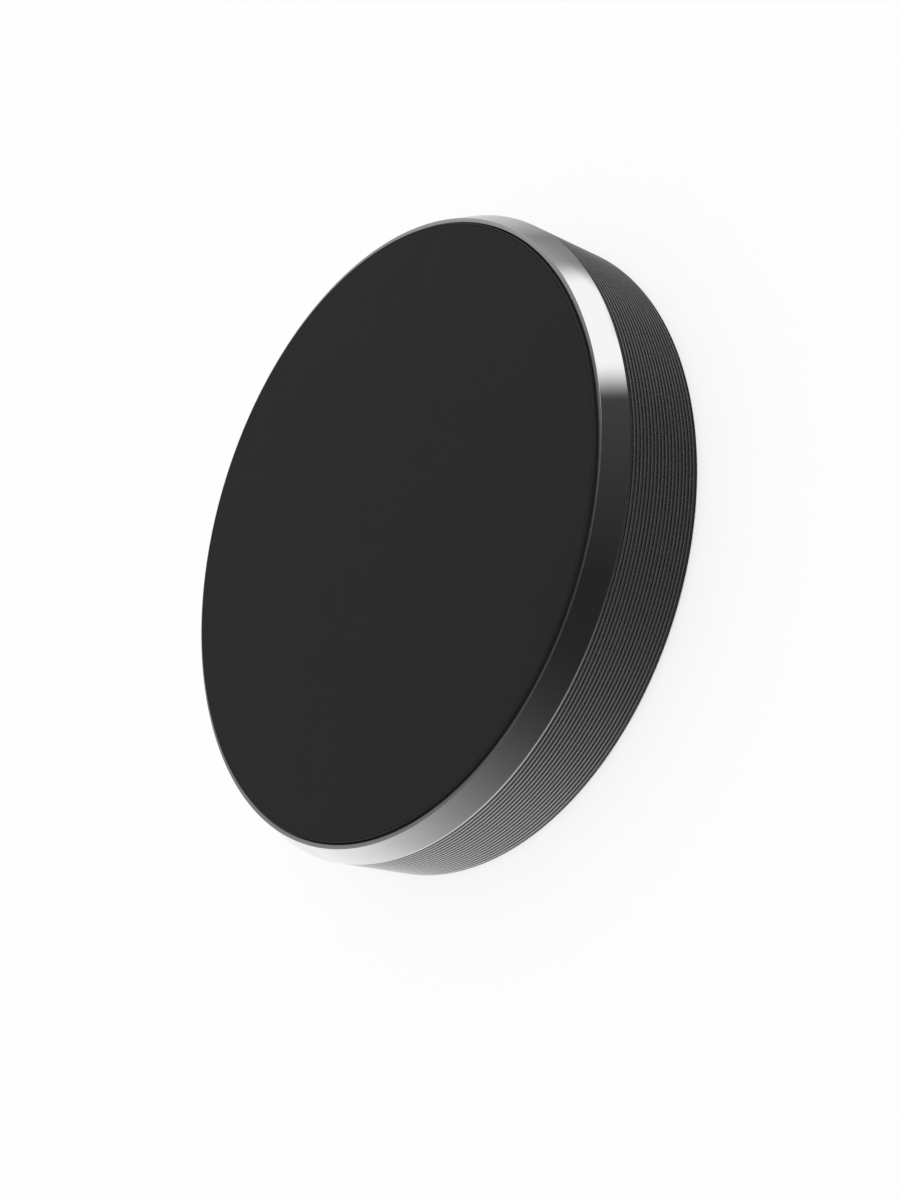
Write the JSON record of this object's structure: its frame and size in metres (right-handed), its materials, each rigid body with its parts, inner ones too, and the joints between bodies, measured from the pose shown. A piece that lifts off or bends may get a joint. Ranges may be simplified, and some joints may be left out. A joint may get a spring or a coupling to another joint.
{
  "type": "magnetic phone mount",
  "caption": "Flat round magnetic mount with a soft face pad, a polished bevel, a side wall of fine turned grooves and a foam adhesive back.",
  "frame": {"origin": "centre of the back, on the release liner that the mount lies on", "axes": "+Z out of the phone face, along the disc's axis; +Y towards the liner's pull tab"},
  "size_m": [0.04, 0.04, 0.0072],
  "materials": {
    "anodised_aluminium": "black anodised, turned side wall, polished bevel",
    "silicone": "soft matte",
    "adhesive_film": "satin",
    "tray_plastic": "moulded, fine grain",
    "nickel_plated_magnet": "bright nickel plating",
    "zinc_plated_steel": "zinc plated, stamped",
    "foam": "closed-cell foam with tacky faces",
    "liner_film": "smooth film"
  },
  "bodies": {
    "root": {"casing": "anodised_aluminium", "front_pad": "silicone", "pad_adhesive": "adhesive_film", "magnet_tray": "tray_plastic", "yoke_plate": "zinc_plated_steel", "yoke_adhesive": "adhesive_film", "foam_adhesive": "foam", "release_liner": "liner_film", "magnet_1": "nickel_plated_magnet", "magnet_2": "nickel_plated_magnet", "magnet_3": "nickel_plated_magnet", "magnet_4": "nickel_plated_magnet", "magnet_5": "nickel_plated_magnet", "magnet_6": "nickel_plated_magnet"}
  },
  "joints": []
}
